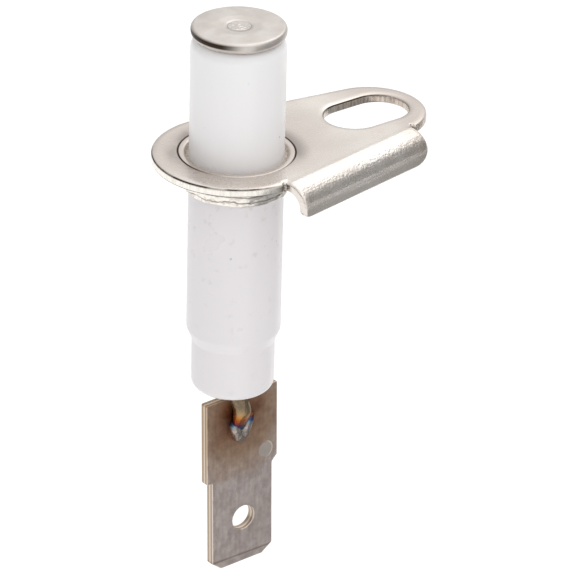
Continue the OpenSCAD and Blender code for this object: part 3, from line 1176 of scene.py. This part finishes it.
    @staticmethod
    def in_pool(point: Vector, lobes: list[tuple[Corner, Corner, float]]) -> bool:
        """Tests whether a point is inside the weld pool, whose lobes flow together where they meet.

        Args:
            point: The point.
            lobes: Both ends and the radius of each round-ended lobe.

        Returns:
            Whether it is inside.
        """
        total = 0.0
        for start, end, radius in lobes:
            first, run = Vector(start), Vector(end) - Vector(start)
            share = min(1.0, max(0.0, (point - first).dot(run) / run.dot(run)))
            total += math.exp(-((point - first - run * share).length - radius) / 0.1)
        return total > 1


@dataclass
class Studio:
    """Pale floor, soft tent light and the long-lens camera."""

    floor_drop: float = 22.0
    floor_glow: float = 0.22
    floor_size: float = 6000.0
    target: Corner = (0.3453, -6.7257, -8.9718)
    azimuth: float = -38.218
    elevation: float = 27.425
    roll: float = 1.431
    flag_from_to: Point = (-88.0, -2.0)
    flag_reach: Point = (6.0, 700.0)
    flag_light: float = 0.32
    distance: float = 393.33
    lens: float = 303.08
    panels: tuple[tuple[Corner, float, float], ...] = (
        ((0.62, 0.22, 0.75), 26.0, 0.35), ((0.76, -0.50, 0.20), 48.0, -0.47),
        ((0.74, -0.44, 0.52), 20.0, -0.25))

    def build(self) -> None:
        """Makes floor, light and camera."""
        self.build_floor()
        self.build_flag()
        self.build_tent()
        self.build_camera()
        bpy.context.scene.view_settings.view_transform = "Standard"

    def floor_level(self) -> float:
        """Returns the floor's height, below the tab's tip."""
        return box_mm("tab_terminal")[0].z - self.floor_drop

    def sheet(self, bm: bmesh.types.BMesh, name: str, stuff: str,
              looks: dict[str, Value]) -> bpy.types.Object:
        """Puts one sheet of the studio into the scene.

        Args:
            bm: Mesh in metres, used up here.
            name: Name of the sheet.
            stuff: Name of its material.
            looks: What the shader's inputs get.

        Returns:
            The sheet.
        """
        made = put(bm, name)
        material = bpy.data.materials.new(stuff)
        material.use_nodes = True
        for key, value in looks.items():
            feed(material.node_tree.nodes["Principled BSDF"].inputs[key], value)
        made.data.materials.append(material)
        return made

    def build_floor(self) -> None:
        """Lays a matt white floor below the tab's tip."""
        bm = bmesh.new()
        bmesh.ops.create_grid(bm, x_segments=1, y_segments=1, size=self.floor_size * MM / 2)
        bmesh.ops.translate(bm, vec=(0, 0, self.floor_level() * MM), verts=bm.verts)
        floor = self.sheet(bm, "studio_floor", "matt_white_paper", {
            "Base Color": linear("#F0F0F0"), "Roughness": 1.0, "Specular IOR Level": 0.0,
            "Emission Color": linear("#FFFFFF"), "Emission Strength": self.floor_glow})

    def build_flag(self) -> None:
        """Lays a grey flag to the front right, which only polished metal sees."""
        bm = bmesh.new()
        level = self.floor_level() + 0.5
        start, end = (math.radians(a) for a in self.flag_from_to)
        edge = [bm.verts.new((r * math.cos(start), r * math.sin(start), level)) for r in self.flag_reach]
        bmesh.ops.spin(bm, geom=edge + [bm.edges.new(edge)], cent=(0, 0, 0), axis=(0, 0, 1),
                       angle=end - start, steps=24)
        bmesh.ops.scale(bm, vec=(MM, MM, MM), verts=bm.verts)
        flag = self.sheet(bm, "grey_flag", "grey_flag_cloth", {
            "Base Color": linear("#000000"), "Emission Color": linear("#FFFFFF"),
            "Emission Strength": self.flag_light})
        flag.visible_camera = flag.visible_diffuse = flag.visible_shadow = flag.visible_transmission = False

    def build_tent(self) -> None:
        """Lights everything from a white tent with a soft box, two dark cards and a dimmer left side."""
        world = bpy.data.worlds.new("light_tent")
        bpy.context.scene.world = world
        world.use_nodes = True
        world.node_tree.nodes.clear()
        add = partial(add_node, world.node_tree)
        way = add("TexCoord", out="Generated")
        dome = add("MapRange", add("SeparateXYZ", way, out="Z"), 0.0, 0.85, 0.72, 1.45,
                   interpolation_type="SMOOTHSTEP")
        side = add("VectorMath", way, (0.79, -0.61, 0.0), operation="DOT_PRODUCT")
        total = add("Math", dome, add("MapRange", side, -1.0, 0.3, 0.42, 0.96), operation="MULTIPLY")
        # Soft boxes add light and dark cards take it away: aim, spread in degrees, power
        for aim, spread, power in self.panels:
            near = add("VectorMath", way, Vector(aim).normalized(), operation="DOT_PRODUCT")
            edge, core = (math.cos(math.radians(spread * share)) for share in (1.0, 0.45))
            glow = add("MapRange", near, edge, core, 0.0, power, interpolation_type="SMOOTHSTEP")
            total = add("Math", total, glow, operation="ADD")
        add("OutputWorld", add("Background", Strength=total, Color=(1.0, 1.0, 1.0, 1.0)))

    def build_camera(self) -> None:
        """Sets the camera on its line through the target, rolled a little."""
        turn, rise, roll = (math.radians(a) for a in (self.azimuth, self.elevation, self.roll))
        back = Vector((math.sin(turn) * math.cos(rise), -math.cos(turn) * math.cos(rise), math.sin(rise)))
        level = Vector((math.cos(turn), math.sin(turn), 0))
        right = level * math.cos(roll) + back.cross(level) * math.sin(roll)
        up = back.cross(right)
        data = bpy.data.cameras.new("camera")
        data.lens = self.lens
        data.clip_start, data.clip_end = 0.01, 20.0
        camera = bpy.data.objects.new("camera", data)
        axes = Matrix((right, up, back)).transposed().to_4x4()
        camera.matrix_world = Matrix.Translation((Vector(self.target) + back * self.distance) * MM) @ axes
        bpy.context.scene.collection.objects.link(camera)
        bpy.context.scene.camera = camera


def main() -> None:
    """Builds every assembly."""
    logging.basicConfig(level=logging.INFO, format="%(message)s")
    Studio().build()
    SparkHead().build()
    Insulator().build()
    Rod().build()
    bracket = Bracket()
    plating = BrightNickel(bend_x=math.sin(bracket.tangent), bend_y=-math.cos(bracket.tangent),
                           bend_start=bracket.ring_r)
    bracket.build(plating)
    Collar().build(TornNickel())
    Terminal().build()
    LOG.info("sizes written")


if __name__ == "__main__":
    main()
